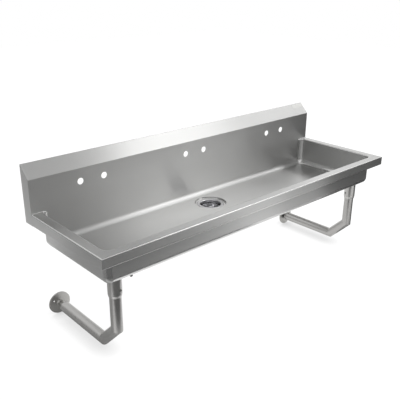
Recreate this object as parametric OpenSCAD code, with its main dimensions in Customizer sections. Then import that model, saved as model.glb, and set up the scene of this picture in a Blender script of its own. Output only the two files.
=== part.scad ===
// Wall-hung trough sink of bent and welded sheet, with a boxed backsplash, tubular wall
// brackets on adjustable feet and a basket drain. Lengths are in millimetres.
// The wall is the plane y = 0, the front is towards -y, and z = 0 is the hanger's screw line.
// Modules work from the top of the rim and are lowered to the screw line by from_rim().

/* [Trough] */
// Length over the end skirts
sink_len = 1524; // [1350:1:1700]
// Depth from the wall to the front skirt
sink_depth = 495.3; // [460:0.1:560]
// Width of the rim at the front and the ends
rim_w = 38.1; // [34:0.1:46]
// Height of the front skirt
skirt_h = 38.1; // [30:0.1:45]
// Height of the end skirts at the wall, where they are deepest
skirt_back_h = 47; // [40:0.1:60]
// Width of the return under the front skirt
lip_w = 12.7; // [8:0.1:18]
// Depth of the bowl at its back wall
bowl_h = 127; // [110:0.1:150]
// Fall of the floor from the front cove to the back cove
floor_fall = 2; // [1:0.1:6]
// Inner radius of the coved corners
cove_r = 24; // [16:0.1:26]
// Thickness of the sheet
sheet_t = 1.6; // [1.2:0.1:2.5]
// Outer radius of the bends round the rim and the backsplash
bend_r = 3.2; // [3:0.1:5]
// Outer radius of the bend at the foot of the front skirt
lip_bend_r = 4.6; // [3:0.1:6]

/* [Backsplash] */
// Depth of the boxed backsplash
splash_d = 50.8; // [45:0.1:70]
// Height of the backsplash's front crease above the rim
splash_h = 127; // [110:0.1:160]
// Rise of the sloped return from the front crease to the wall
return_rise = 50.8; // [35:0.1:60]
// Height of the flange that turns down along the wall
rear_flange_h = 31.8; // [24:0.1:40]
// Number of tap stations
stations = 3; // [1:1:3]
// Distance from one tap station to the next
station_pitch = 508; // [300:1:520]
// Distance between the two holes of a tap station
tap_centres = 101.6; // [90:0.1:120]
// Diameter of a tap hole
tap_hole_d = 25.4; // [22:0.1:35]
// Height of the tap holes above the rim
tap_h = 76.2; // [60:0.1:90]

/* [Wall hanger] */
// Distance from the outer screw holes to the ends of the hanger strip
hanger_end = 25.4; // [15:0.1:40]
// Height of the leg that is screwed to the wall
hanger_leg_h = 38; // [30:0.1:50]
// Height of the lip that the backsplash hooks over
hanger_lip_h = 15; // [8:0.1:18]
// Thickness of the hanger strip
hanger_t = 2.5; // [2:0.1:4]
// Number of screw holes
hanger_screws = 4; // [2:1:4]
// Distance between screw holes, that of the studs in the wall
hanger_pitch = 406.4; // [380:0.1:410]
// Diameter of a screw hole
hanger_hole_d = 7; // [5:0.1:9]

/* [Brackets] */
// Distance of each bracket from the sink's end
leg_in = 97; // [95:1:200]
// Distance of the uprights behind the front skirt
leg_back = 90.3; // [89:0.1:115]
// Outer diameter of the bracket tube
tube_d = 41.28; // [38:0.01:44]
// Wall of the bracket tube
tube_t = 1.6; // [1.2:0.1:2.5]
// Depth of the upper mitre below the rim
mitre_h = 331; // [300:1:380]
// Run of the knee towards the wall
knee_run = 85; // [70:1:110]
// Angle between the upright and the knee
knee_a = 45; // [40:1:50]
// Distance of the tube's open end from the wall
tube_end = 44; // [40:1:60]

/* [Sockets] */
// Outer diameter of a socket
socket_d = 49.2; // [47:0.1:54]
// Outer diameter at the tapered end of a socket
socket_tip_d = 44.6; // [44.2:0.1:46]
// Depth of a socket's tapered end below the rim
socket_bottom = 203; // [195:1:240]
// Height of the taper
socket_taper = 11; // [5:0.5:15]
// Width of the plate over a socket
plate_w = 62; // [55:1:66]
// Length of the plate over a socket, from front to back
plate_len = 88; // [60:1:120]
// Thickness of the plate under the floor
plate_t = 3; // [2:0.1:5]
// Diameter of the set screw that locks the tube
set_screw_d = 8; // [6:0.1:10]
// Depth of the set screws below the rim
set_screw_h = 176; // [150:1:180]
// Way the left set screw faces, counted from +x towards +y
screw_face_left = 288; // [0:1:360]
// Way the right set screw faces, counted from +x towards +y
screw_face_right = 165; // [0:1:360]

/* [Wall feet] */
// Diameter of a foot's flange
foot_d = 88.9; // [76:0.1:100]
// Thickness of the flange
foot_t = 4.5; // [3:0.1:8]
// Diameter of a foot's stem
stem_d = 19.05; // [16:0.01:22]
// Length of the stem
stem_len = 92; // [85:1:110]
// How far the left foot is screwed in from the wall
foot_in_left = 0; // [0:1:30]
// How far the right foot is screwed in from the wall
foot_in_right = 28; // [0:1:30]
// Diameter of the circle of the flange's two screw holes
foot_pcd = 53; // [46:0.1:62]
// Diameter of a flange hole
foot_hole_d = 7.2; // [5:0.1:9]
// Angle of the flange's holes above the horizontal
foot_hole_a = 150; // [0:1:360]
// Length of the threaded plug in the tube
plug_len = 18; // [12:1:24]
// Distance of the plug inside the tube's end
plug_inset = 7; // [3:1:12]

/* [Drain] */
// Distance of the drain from the wall
drain_y = 152.4; // [140:0.1:300]
// Depth of the drain's stamped seat below the back of the floor
seat_step = 6; // [4:0.1:10]
// Diameter of the stamped seat
seat_d = 133.4; // [124:0.1:150]
// Diameter of the hole in the sink
drain_hole_d = 92; // [91:0.1:96]
// Diameter of the strainer's flange
strainer_flange_d = 114.3; // [108:0.1:118]
// Outer diameter of the strainer's body
strainer_d = 89; // [86:0.1:90]
// Depth of the strainer's body below its seat
strainer_depth = 54; // [50:0.5:70]
// Wall of the strainer
strainer_t = 1.5; // [1:0.1:2]
// Outer diameter of the outlet and its tailpiece
tail_d = 38.1; // [32:0.1:42]
// Length of the tailpiece
tail_len = 60; // [50:1:120]
// Wall of the tailpiece
tail_t = 1.3; // [1:0.1:2]

/* [Strainer basket] */
// Diameter of the basket at its rim
basket_d = 76; // [70:0.5:79]
// Diameter of the basket at its bottom
basket_foot_d = 60; // [54:0.5:66]
// Height of the basket
basket_h = 24; // [18:0.5:28]
// Wall of the basket
basket_t = 0.9; // [0.7:0.1:1.5]
// Diameter of the holes in the basket
basket_hole_d = 4.2; // [3:0.1:5]
// Diameter of the knob
knob_d = 15; // [12:0.5:20]
// Diameter of the stopper
stopper_d = 46; // [44:0.5:52]
// Distance of the basket above its stopper
stopper_gap = 12; // [8:0.5:14]

/* [Bonding stud] */
// Distance of the stud from the sink's left end
stud_in = 151; // [145:1:220]
// Distance of the stud behind the front skirt
stud_back = 71.3; // [68:0.1:100]
// Diameter of the stud
stud_d = 6; // [4:0.1:8]
// Length of the stud below the floor
stud_len = 14; // [10:0.5:20]

/* [Hidden] */
$fn = 64;

// Every cut runs past its solid by this much
over = 1;
// Clearance of parts that are assembled and stay put
seat_gap = 0.2;
// Clearance of a stem that turns in its thread
thread_gap = 0.08;

// Bowl, measured from the top of the rim
bowl_x = sink_len / 2 - rim_w;
bowl_front = rim_w - sink_depth;
core_x = bowl_x - cove_r;
core_front = bowl_front + cove_r;
core_back = -splash_d - cove_r;
core_low_front = cove_r - bowl_h + floor_fall;
core_low_back = cove_r - bowl_h;
floor_a = atan2(floor_fall, core_back - core_front);
floor_len = (core_back - core_front) / cos(floor_a);
mitre_in = rim_w + 2 * cove_r;
skirt_a = atan2(skirt_back_h - skirt_h, sink_depth);
skirt_run = sink_depth / cos(skirt_a);

// Backsplash bends: one at the front crease and one at the wall
slope_a = atan2(return_rise, splash_d);
splash_top = splash_h + return_rise;
crease_at = [bend_r - splash_d, splash_h - bend_r * tan((90 - slope_a) / 2)];
ridge_at = [-bend_r, splash_top - bend_r * tan((90 + slope_a) / 2)];
bend_steps = 12;

// Hanger: the backsplash's flange stands on the shelf
shelf_h = splash_top - rear_flange_h;
screw_line = shelf_h - hanger_leg_h / 2;
hanger_span = (hanger_screws - 1) * hanger_pitch;
hook_gap = 0.5;

// Brackets
leg_x = sink_len / 2 - leg_in;
leg_y = sink_depth - leg_back;
tube_r = tube_d / 2;
run_h = mitre_h + knee_run / tan(knee_a);
knee_len = knee_run / sin(knee_a);
plate_h = bowl_h + sheet_t + plate_t;
tube_gap = 1;
upright_top = plate_h + tube_gap;
space = 4 * tube_d;
screw_proud = 2;
screw_len = socket_d / 2 - tube_r + screw_proud;
hex_share = 0.55;
foot_edge = foot_t / 4;
foot_boss_share = 1.5;
foot_boss_d = foot_boss_share * stem_d;
foot_boss_h = foot_boss_share * foot_t;

// Drain
seat_depth = bowl_h + seat_step;
seat_rise = seat_step + cove_r;
seat_lean_share = 0.5;
flange_t = 1.8;
flange_edge = 0.8;
throat_r = strainer_d / 2 - strainer_t;
throat_lip = 4;
strainer_low = seat_depth + strainer_depth;
outlet_ledge = 1;
outlet_r = tail_d / 2 + strainer_t + outlet_ledge;
outlet_h = 20;
outlet_bore = tail_d / 2 - tail_t;
cross_w = 3;
hub_r = 6;
pin_r = 3;
gasket_t = 3;
friction_t = 1.5;
locknut_h = 13;
locknut_d = 108;
lugs = 6;
lug_share = 0.35;
washer_t = 2;
nut_h = 16;
nut_wall = 4;
nut_grips = 12;
grip_r = 2.2;
tail_flange = 2;
collar_h = 3;
collar_r = tail_d / 2 + outlet_ledge;

// Basket, whose post stands on the stopper
stopper_t = 4;
stopper_lap = 1;
stopper_low = strainer_low - strainer_t;
basket_low = stopper_low - stopper_t - stopper_gap;
basket_top = basket_low - basket_h;
rim_roll = 2.4;
hole_ring_shares = [[0.36, 9], [0.68, 16]];
wall_holes = 20;
post_r = 4;
pin_tip = 1;
knob_neck = 9;
neck_share = 2 / 3;

// Bonding nut
nut_d = 11.5;
nut_t = 5;

// The unit vector at an angle from +x
function toward(angle) = [cos(angle), sin(angle)];

// Points on an arc about c, from one angle to another
function arc(c, r, from, to) = [
    for (i = [0 : bend_steps]) c + r * toward(from + (to - from) * i / bend_steps)
];

function reversed(points) = [for (i = [len(points) - 1 : -1 : 0]) points[i]];

module from_rim() {
    translate([0, 0, -screw_line]) children();
}

module along_x(len) {
    rotate([90, 0, 90]) linear_extrude(len, center = true) children();
}

module ring(outer, inner, h) {
    difference() {
        cylinder(h = h, r = outer);
        translate([0, 0, -over]) cylinder(h = h + 2 * over, r = inner);
    }
}

// The sheet's section round a square bend, with its centre at the origin, towards +x and +y
module bend(r) {
    intersection() {
        difference() {
            circle(r);
            circle(r - sheet_t);
        }
        square(r);
    }
}

// The trough's rounded core: a wedge with a falling floor, grown by r on every side
module trough(r, top) {
    lean = [-r * sin(floor_a), -r * cos(floor_a)];
    along_x(2 * core_x) {
        polygon([
            [core_front - r, core_low_front], [core_front, core_low_front],
            [core_back, core_low_back], [core_back + r, core_low_back],
            [core_back + r, top], [core_front - r, top]
        ]);
        polygon([
            [core_front, core_low_front], [core_front, core_low_front] + lean,
            [core_back, core_low_back] + lean, [core_back, core_low_back]
        ]);
        translate([core_front, core_low_front]) circle(r);
        translate([core_back, core_low_back]) circle(r);
    }
    along_x(2 * (core_x + r)) polygon([
        [core_front, core_low_front], [core_back, core_low_back],
        [core_back, top], [core_front, top]
    ]);
    for (x = [-core_x, core_x]) {
        translate([x, core_front, core_low_front]) {
            rotate([-90 - floor_a, 0, 0]) cylinder(h = floor_len, r = r);
            cylinder(h = top - core_low_front, r = r);
            sphere(r);
        }
        translate([x, core_back, core_low_back]) {
            cylinder(h = top - core_low_back, r = r);
            sphere(r);
        }
    }
}

module bowl() {
    color("silver") from_rim() difference() {
        union() {
            trough(cove_r + sheet_t, -bend_r);
            translate([0, -drain_y, -seat_depth - sheet_t])
                seat(seat_d / 2 + sheet_t, seat_rise);
        }
        trough(cove_r, over - bend_r);
        translate([0, -drain_y, -seat_depth]) seat(seat_d / 2, seat_rise);
        translate([0, -drain_y, -seat_depth - sheet_t - over])
            cylinder(h = sheet_t + 2 * over, d = drain_hole_d);
    }
}

// The drain's stamped seat, widening upwards from a radius of r
module seat(r, h) {
    cylinder(h = h, r1 = r, r2 = r + h * seat_lean_share);
}

// One side of the backsplash's sheet, from its face over the crease and the ridge to the wall
function splash_line(r) = concat(
    arc(crease_at, r, 180, 90 + slope_a), arc(ridge_at, r, 90 + slope_a, 0)
);

module backsplash() {
    color("silver") from_rim() difference() {
        along_x(sink_len - 2 * sheet_t) polygon(concat(
            [[-splash_d, -bend_r]], splash_line(bend_r), [[0, shelf_h], [-sheet_t, shelf_h]],
            reversed(splash_line(bend_r - sheet_t)), [[sheet_t - splash_d, -bend_r]]
        ));
        for (i = [0 : stations - 1], side = [-1, 1])
            translate([(i - (stations - 1) / 2) * station_pitch + side * tap_centres / 2,
                       over - splash_d + sheet_t, tap_h])
                rotate([90, 0, 0]) cylinder(h = sheet_t + 2 * over, d = tap_hole_d);
    }
}

// A plate that closes the backsplash and runs down to the end skirt's lower edge
module splash_end(side) {
    low_front = splash_d * tan(skirt_a) - skirt_back_h;
    color("silver") from_rim() translate([side * (sink_len - sheet_t) / 2, 0, 0])
        along_x(sheet_t) polygon(concat(
            [[-splash_d, low_front]], splash_line(bend_r), [[0, -skirt_back_h]]
        ));
}

// The flat of the rim between its bends, with the bowl's rounded opening
module ledge() {
    flat_x = sink_len / 2 - bend_r;
    open_r = cove_r + bend_r;
    translate([0, 0, -sheet_t]) linear_extrude(sheet_t) difference() {
        translate([-flat_x, bend_r - sink_depth])
            square([2 * flat_x, sink_depth - bend_r - splash_d]);
        translate([-core_x, core_front - open_r])
            square([2 * core_x, core_back - core_front + 2 * open_r]);
        translate([-core_x - open_r, core_front])
            square([2 * (core_x + open_r), core_back - core_front]);
        for (x = [-core_x, core_x], y = [core_front, core_back])
            translate([x, y]) circle(open_r);
    }
}

// The bend from the rim down into the bowl, following its corners
module inner_bend() {
    section_x = cove_r + bend_r;
    along_x(2 * core_x) translate([core_front - section_x, -bend_r]) bend(bend_r);
    for (side = [0, 1]) mirror([side, 0, 0]) {
        translate([0, core_front, 0]) rotate([-90, 0, 0]) mirror([0, 1, 0])
            linear_extrude(core_back - core_front)
                translate([core_x + section_x, -bend_r]) mirror([1, 0]) bend(bend_r);
        for (corner = [[core_front, -90], [core_back, 0]])
            translate([core_x, corner[0], 0]) rotate([0, 0, corner[1]])
                rotate_extrude(angle = 90)
                    translate([section_x, -bend_r]) mirror([1, 0]) bend(bend_r);
    }
}

// The part of the rim on one side of the mitres: corners is its outline seen from above
module rim_piece(corners) {
    intersection() {
        union() {
            ledge();
            inner_bend();
            children();
        }
        translate([0, 0, -skirt_back_h - over])
            linear_extrude(skirt_back_h + 2 * over) polygon(corners);
    }
}

module front_rim() {
    half = sink_len / 2;
    foot_z = lip_bend_r - skirt_h;
    color("silver") from_rim() rim_piece([
        [-half, -sink_depth], [half, -sink_depth],
        [half - mitre_in, mitre_in - sink_depth], [mitre_in - half, mitre_in - sink_depth]
    ]) along_x(sink_len) translate([-sink_depth, 0]) {
        translate([bend_r, -bend_r]) mirror([1, 0]) bend(bend_r);
        translate([0, foot_z]) square([sheet_t, -bend_r - foot_z]);
        translate([lip_bend_r, foot_z]) rotate(180) bend(lip_bend_r);
        translate([lip_bend_r, -skirt_h]) square([lip_w - lip_bend_r, sheet_t]);
    }
}

// The right end of the rim: its skirt deepens towards the wall and has a flat return
module side_rim() {
    half = sink_len / 2;
    color("silver") from_rim() rim_piece([
        [half, -sink_depth], [half - mitre_in, mitre_in - sink_depth],
        [half - mitre_in, -splash_d], [half, -splash_d]
    ]) {
        translate([half - bend_r, 0, -bend_r]) rotate([90, 0, 0])
            linear_extrude(sink_depth) bend(bend_r);
        difference() {
            translate([half - sheet_t, -sink_depth, -skirt_back_h])
                cube([sheet_t, sink_depth, skirt_back_h - bend_r]);
            along_skirt() translate([-over, -over, -skirt_back_h])
                cube([lip_w + 2 * over, skirt_run + 2 * over, skirt_back_h]);
        }
        along_skirt() cube([lip_w, skirt_run, sheet_t]);
    }
}

// Places a slab along the sloping lower edge of the right end skirt
module along_skirt() {
    translate([sink_len / 2 - lip_w, -sink_depth, -skirt_h]) rotate([-skirt_a, 0, 0]) children();
}

module wall_hanger() {
    lip_in = sheet_t + hook_gap;
    color("lightgray") from_rim() difference() {
        along_x(hanger_span + 2 * hanger_end) polygon([
            [0, shelf_h - hanger_leg_h], [0, shelf_h], [-lip_in, shelf_h],
            [-lip_in, shelf_h + hanger_lip_h], [-lip_in - hanger_t, shelf_h + hanger_lip_h],
            [-lip_in - hanger_t, shelf_h - hanger_t], [-hanger_t, shelf_h - hanger_t],
            [-hanger_t, shelf_h - hanger_leg_h]
        ]);
        for (i = [0 : hanger_screws - 1])
            translate([i * hanger_pitch - hanger_span / 2, over, screw_line])
                rotate([90, 0, 0]) cylinder(h = hanger_t + 2 * over, d = hanger_hole_d);
    }
}

// Places a bracket part on its own side of the sink
module on_side(side) {
    from_rim() translate([side * leg_x, 0, 0]) children();
}

// Turns +z to point down, and then towards the wall by the given angle
module heading(angle) {
    rotate([180 + angle, 0, 0]) children();
}

module beyond() {
    translate([-space / 2, -space / 2, 0]) cube(space);
}

module bracket_tube(len) {
    ring(tube_r, tube_r - tube_t, len);
}

module socket_plate(side) {
    color("silver") difference() {
        on_side(side) translate([-plate_w / 2, -leg_y - socket_d / 2, -plate_h])
            cube([plate_w, plate_len, plate_h - bowl_h + cove_r]);
        from_rim() trough(cove_r + sheet_t, over - bend_r);
    }
}

module socket_body(side, face) {
    straight = socket_bottom - socket_taper;
    bore_r = tube_r + seat_gap;
    color("darkgray") on_side(side) translate([0, -leg_y, 0]) difference() {
        rotate_extrude() polygon([
            [bore_r, -plate_h], [socket_d / 2, -plate_h], [socket_d / 2, -straight],
            [socket_tip_d / 2, -socket_bottom], [bore_r, -socket_bottom]
        ]);
        translate([0, 0, -set_screw_h]) rotate([0, 90, face]) cylinder(h = socket_d, d = set_screw_d);
    }
}

module set_screw(side, face) {
    screw_r = set_screw_d / 2 - thread_gap;
    color("dimgray") on_side(side) translate([0, -leg_y, -set_screw_h]) rotate([0, 90, face])
        translate([0, 0, tube_r]) difference() {
            cylinder(h = screw_len, r = screw_r);
            translate([0, 0, screw_len / 2])
                cylinder(h = screw_len, r = screw_r * hex_share, $fn = 6);
        }
}

module upright(side) {
    color("silver") on_side(side) difference() {
        translate([0, -leg_y, -upright_top]) heading(0)
            bracket_tube(mitre_h - upright_top + tube_r);
        translate([0, -leg_y, -mitre_h]) heading(knee_a / 2) beyond();
    }
}

module knee(side) {
    color("silver") on_side(side) difference() {
        translate([0, -leg_y, -mitre_h]) heading(knee_a) translate([0, 0, -tube_r])
            bracket_tube(knee_len + tube_d);
        translate([0, -leg_y, -mitre_h]) heading(180 + knee_a / 2) beyond();
        translate([0, knee_run - leg_y, -run_h]) heading((90 + knee_a) / 2) beyond();
    }
}

module wall_run(side) {
    color("silver") on_side(side) difference() {
        translate([0, knee_run - leg_y, -run_h]) heading(90) translate([0, 0, -tube_r])
            bracket_tube(leg_y - knee_run - tube_end + tube_r);
        translate([0, knee_run - leg_y, -run_h]) heading(180 + (90 + knee_a) / 2) beyond();
    }
}

module tube_plug(side) {
    color("dimgray") on_side(side)
        translate([0, -tube_end - plug_inset - plug_len, -run_h]) heading(90)
            ring(tube_r - tube_t, stem_d / 2 + thread_gap, plug_len);
}

module wall_foot(side, foot_in) {
    color("silver") on_side(side) translate([0, -foot_in, -run_h]) heading(90) difference() {
        rotate_extrude() polygon([
            [0, 0], [foot_d / 2, 0], [foot_d / 2, -foot_t + foot_edge],
            [foot_d / 2 - foot_edge, -foot_t], [foot_boss_d / 2, -foot_t],
            [stem_d / 2, -foot_t - foot_boss_h], [stem_d / 2, -stem_len],
            [stem_d / 2 - foot_edge, -stem_len - foot_edge], [0, -stem_len - foot_edge]
        ]);
        for (turn = [0, 180]) rotate([0, 0, turn - foot_hole_a])
            translate([foot_pcd / 2, 0, -foot_t - over])
                cylinder(h = foot_t + 2 * over, d = foot_hole_d);
    }
}

module at_drain(depth) {
    from_rim() translate([0, -drain_y, -depth]) children();
}

module strainer_body() {
    body_r = strainer_d / 2;
    flange_r = strainer_flange_d / 2;
    color("gainsboro") at_drain(seat_depth) difference() {
        union() {
            rotate_extrude() difference() {
                polygon([
                    [body_r, -strainer_depth], [body_r, 0], [flange_r, 0],
                    [flange_r, flange_t - flange_edge], [flange_r - flange_edge, flange_t],
                    [throat_r, flange_t], [throat_r, strainer_t - strainer_depth],
                    [outlet_bore, strainer_t - strainer_depth],
                    [outlet_bore, -strainer_depth - outlet_h],
                    [outlet_r, -strainer_depth - outlet_h], [outlet_r, -strainer_depth]
                ]);
                translate([throat_r, flange_t - throat_lip]) difference() {
                    translate([-over, 0]) square(throat_lip + over);
                    translate([throat_lip, 0]) circle(throat_lip);
                }
            }
            translate([0, 0, -strainer_depth]) {
                cylinder(h = strainer_t, r = hub_r);
                for (turn = [0, 90]) rotate([0, 0, turn])
                    translate([-outlet_r, -cross_w / 2, 0]) cube([2 * outlet_r, cross_w, strainer_t]);
            }
        }
        translate([0, 0, -strainer_depth - over])
            cylinder(h = strainer_t + 2 * over, r = pin_r + seat_gap);
    }
}

module strainer_gasket() {
    color("dimgray") at_drain(seat_depth + sheet_t + gasket_t)
        ring(strainer_flange_d / 2, strainer_d / 2 + seat_gap, gasket_t);
}

module friction_ring() {
    color("tan") at_drain(seat_depth + sheet_t + gasket_t + friction_t)
        ring(strainer_flange_d / 2, strainer_d / 2 + seat_gap, friction_t);
}

module locknut() {
    depth = seat_depth + sheet_t + gasket_t + friction_t + locknut_h;
    inner = strainer_d / 2 + seat_gap;
    color("darkgray") at_drain(depth) {
        ring(inner + nut_wall, inner, locknut_h);
        translate([0, 0, locknut_h * (1 - lug_share)])
            ring(locknut_d / 2, inner, locknut_h * lug_share);
        for (i = [0 : lugs - 1]) rotate([0, 0, i * 360 / lugs])
            translate([inner + nut_wall / 2, -nut_wall, 0])
                cube([locknut_d / 2 - inner - nut_wall, 2 * nut_wall, locknut_h]);
    }
}

module strainer_basket() {
    foot_r = basket_foot_d / 2;
    rim_r = basket_d / 2;
    lean = atan2(rim_r - foot_r, basket_h);
    color("gainsboro") at_drain(basket_low) difference() {
        rotate_extrude() polygon([
            [0, 0], [foot_r, 0], [rim_r - rim_roll, basket_h - basket_t],
            [rim_r, basket_h - basket_t], [rim_r, basket_h],
            [rim_r - rim_roll - basket_t, basket_h], [foot_r - basket_t, basket_t], [0, basket_t]
        ]);
        translate([0, 0, -over]) cylinder(h = basket_t + 2 * over, r = pin_r + seat_gap);
        for (row = hole_ring_shares, i = [0 : row[1] - 1]) rotate([0, 0, i * 360 / row[1]])
            translate([row[0] * foot_r, 0, -over])
                cylinder(h = basket_t + 2 * over, d = basket_hole_d);
        for (i = [0 : wall_holes - 1]) rotate([0, 0, i * 360 / wall_holes])
            translate([(foot_r + rim_r - rim_roll) / 2, 0, basket_h / 2])
                rotate([0, 90 + lean, 0])
                    cylinder(h = 2 * rim_roll + basket_t, d = basket_hole_d, center = true);
    }
}

module basket_post() {
    top = basket_low - basket_top;
    pin_low = stopper_gap + stopper_t + strainer_t + pin_tip;
    color("gainsboro") at_drain(basket_low) {
        translate([0, 0, basket_t]) cylinder(h = top - basket_t - knob_neck / 2, r = post_r);
        translate([0, 0, -stopper_gap]) cylinder(h = stopper_gap, r = post_r);
        translate([0, 0, -pin_low]) cylinder(h = pin_low + basket_t, r = pin_r);
        translate([0, 0, top - knob_neck])
            cylinder(h = knob_neck * neck_share, r1 = post_r, r2 = knob_d / 2);
        translate([0, 0, top - knob_neck * (1 - neck_share)])
            cylinder(h = knob_neck * (1 - neck_share), r = knob_d / 2);
    }
}

module stopper() {
    color("dimgray") at_drain(stopper_low) difference() {
        union() {
            cylinder(h = stopper_t / 2, r1 = outlet_bore + stopper_lap, r2 = stopper_d / 2);
            translate([0, 0, stopper_t / 2]) cylinder(h = stopper_t / 2, d = stopper_d);
        }
        translate([0, 0, -over]) cylinder(h = stopper_t + 2 * over, r = pin_r);
    }
}

module tail_washer() {
    color("white") at_drain(strainer_low + outlet_h + washer_t)
        ring(outlet_r, tail_d / 2 + seat_gap, washer_t);
}

module coupling_nut() {
    nut_r = outlet_r + nut_wall;
    low = strainer_low + outlet_h + washer_t + tail_flange + nut_wall / 2;
    color("darkgray") at_drain(low) difference() {
        cylinder(h = nut_h, r = nut_r);
        translate([0, 0, -over]) cylinder(h = nut_h, r = collar_r + seat_gap);
        translate([0, 0, nut_wall / 2]) cylinder(h = nut_h, r = outlet_r + seat_gap);
        for (i = [0 : nut_grips - 1]) rotate([0, 0, i * 360 / nut_grips])
            translate([nut_r + grip_r / 2, 0, -over]) cylinder(h = nut_h + 2 * over, r = grip_r);
    }
}

module tailpiece() {
    depth = strainer_low + outlet_h + washer_t + tail_flange;
    color("gainsboro") at_drain(depth) {
        ring(outlet_r, outlet_bore, tail_flange);
        translate([0, 0, -collar_h]) ring(collar_r, outlet_bore, collar_h);
        translate([0, 0, tail_flange - tail_len]) ring(tail_d / 2, outlet_bore, tail_len);
    }
}

module under_floor() {
    difference() {
        from_rim() translate([stud_in - sink_len / 2, stud_back - sink_depth, -bowl_h - sheet_t])
            children();
        from_rim() trough(cove_r + sheet_t, over - bend_r);
    }
}

module bonding_stud() {
    color("gray") under_floor() translate([0, 0, -stud_len])
        cylinder(h = stud_len + cove_r, d = stud_d);
}

module bonding_nut() {
    color("dimgray") under_floor() translate([0, 0, nut_t / 2 - stud_len]) difference() {
        cylinder(h = nut_t, d = nut_d, $fn = 6);
        translate([0, 0, -over]) cylinder(h = nut_t + 2 * over, d = stud_d + 2 * thread_gap);
    }
}

bowl();
backsplash();
front_rim();
mirror([1, 0, 0]) side_rim();  // side_rim_left
side_rim();  // side_rim_right
splash_end(-1);  // splash_end_left
splash_end(1);  // splash_end_right
wall_hanger();
socket_plate(-1);  // socket_plate_left
socket_plate(1);  // socket_plate_right
socket_body(-1, screw_face_left);  // socket_left
socket_body(1, screw_face_right);  // socket_right
set_screw(-1, screw_face_left);  // set_screw_left
set_screw(1, screw_face_right);  // set_screw_right
upright(-1);  // upright_left
upright(1);  // upright_right
knee(-1);  // knee_left
knee(1);  // knee_right
wall_run(-1);  // wall_run_left
wall_run(1);  // wall_run_right
tube_plug(-1);  // tube_plug_left
tube_plug(1);  // tube_plug_right
wall_foot(-1, foot_in_left);  // wall_foot_left
wall_foot(1, foot_in_right);  // wall_foot_right
strainer_body();
strainer_gasket();
friction_ring();
locknut();
strainer_basket();
basket_post();
stopper();
tail_washer();
coupling_nut();
tailpiece();
bonding_stud();
bonding_nut();
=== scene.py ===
import math

import bpy
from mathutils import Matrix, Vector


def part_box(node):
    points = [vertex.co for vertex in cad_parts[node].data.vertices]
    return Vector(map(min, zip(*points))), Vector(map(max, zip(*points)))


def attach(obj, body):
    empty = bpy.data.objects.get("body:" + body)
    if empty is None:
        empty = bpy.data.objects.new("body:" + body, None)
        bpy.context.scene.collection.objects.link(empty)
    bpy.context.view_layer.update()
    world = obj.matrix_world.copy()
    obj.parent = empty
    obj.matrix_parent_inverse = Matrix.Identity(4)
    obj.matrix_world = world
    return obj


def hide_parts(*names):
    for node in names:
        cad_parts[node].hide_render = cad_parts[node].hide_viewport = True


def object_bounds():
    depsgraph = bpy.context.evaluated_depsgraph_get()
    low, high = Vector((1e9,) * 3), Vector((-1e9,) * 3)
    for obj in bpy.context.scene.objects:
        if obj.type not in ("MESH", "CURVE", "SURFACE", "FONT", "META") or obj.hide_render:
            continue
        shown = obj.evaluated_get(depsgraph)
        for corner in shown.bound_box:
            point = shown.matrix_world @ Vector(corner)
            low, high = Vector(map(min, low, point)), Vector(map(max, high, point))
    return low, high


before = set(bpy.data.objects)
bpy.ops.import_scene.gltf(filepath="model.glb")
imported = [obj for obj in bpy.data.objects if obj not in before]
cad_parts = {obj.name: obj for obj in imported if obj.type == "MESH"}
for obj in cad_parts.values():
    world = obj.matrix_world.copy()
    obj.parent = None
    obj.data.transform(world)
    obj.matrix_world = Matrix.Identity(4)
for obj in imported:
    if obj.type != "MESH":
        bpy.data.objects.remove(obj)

bl_info = {
    "name": "Trough Sink",
    "version": (1, 0, 0),
    "blender": (4, 5, 0),
    "location": "View3D > Sidebar > Sink",
    "description": "Dresses the wall-hung trough sink in its sheet metal, tubes and fittings",
    "category": "Object",
}

MM = 0.001
CAD_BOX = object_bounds()
RIM_LOW, RIM_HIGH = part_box("front_rim")
BOWL_LOW, BOWL_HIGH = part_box("bowl")
SPLASH_LOW, SPLASH_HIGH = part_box("backsplash")
GASKET_LOW, GASKET_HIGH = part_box("strainer_gasket")

RIM_TOP = RIM_HIGH.z
END_X = RIM_HIGH.x
FRONT_Y = RIM_LOW.y
SPLASH_Y = SPLASH_LOW.y
DRAIN_Y = (GASKET_LOW.y + GASKET_HIGH.y) / 2

SINK_BODY = "sink"
SIDES = ((-1, "left"), (1, "right"))


def linear(code):
    """An sRGB hex colour, such as C8C8CA, as linear red, green, blue and alpha."""
    parts = [int(code[i : i + 2], 16) / 255 for i in (0, 2, 4)]
    return opaque(c / 12.92 if c <= 0.04045 else ((c + 0.055) / 1.055) ** 2.4 for c in parts)


def opaque(colour):
    """A colour of three parts, with the fourth that a shader asks for."""
    return [*colour, 1.0]


def length(name, description, mm):
    """A size to change, with its default in millimetres."""
    return bpy.props.FloatProperty(
        name=name, description=description, default=mm * MM, unit="LENGTH"
    )


def tone(name, description, code):
    """A colour to change, with its default as sRGB hex."""
    return bpy.props.FloatVectorProperty(
        name=name,
        description=description,
        default=linear(code)[:3],
        min=0,
        max=1,
        subtype="COLOR",
    )


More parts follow.
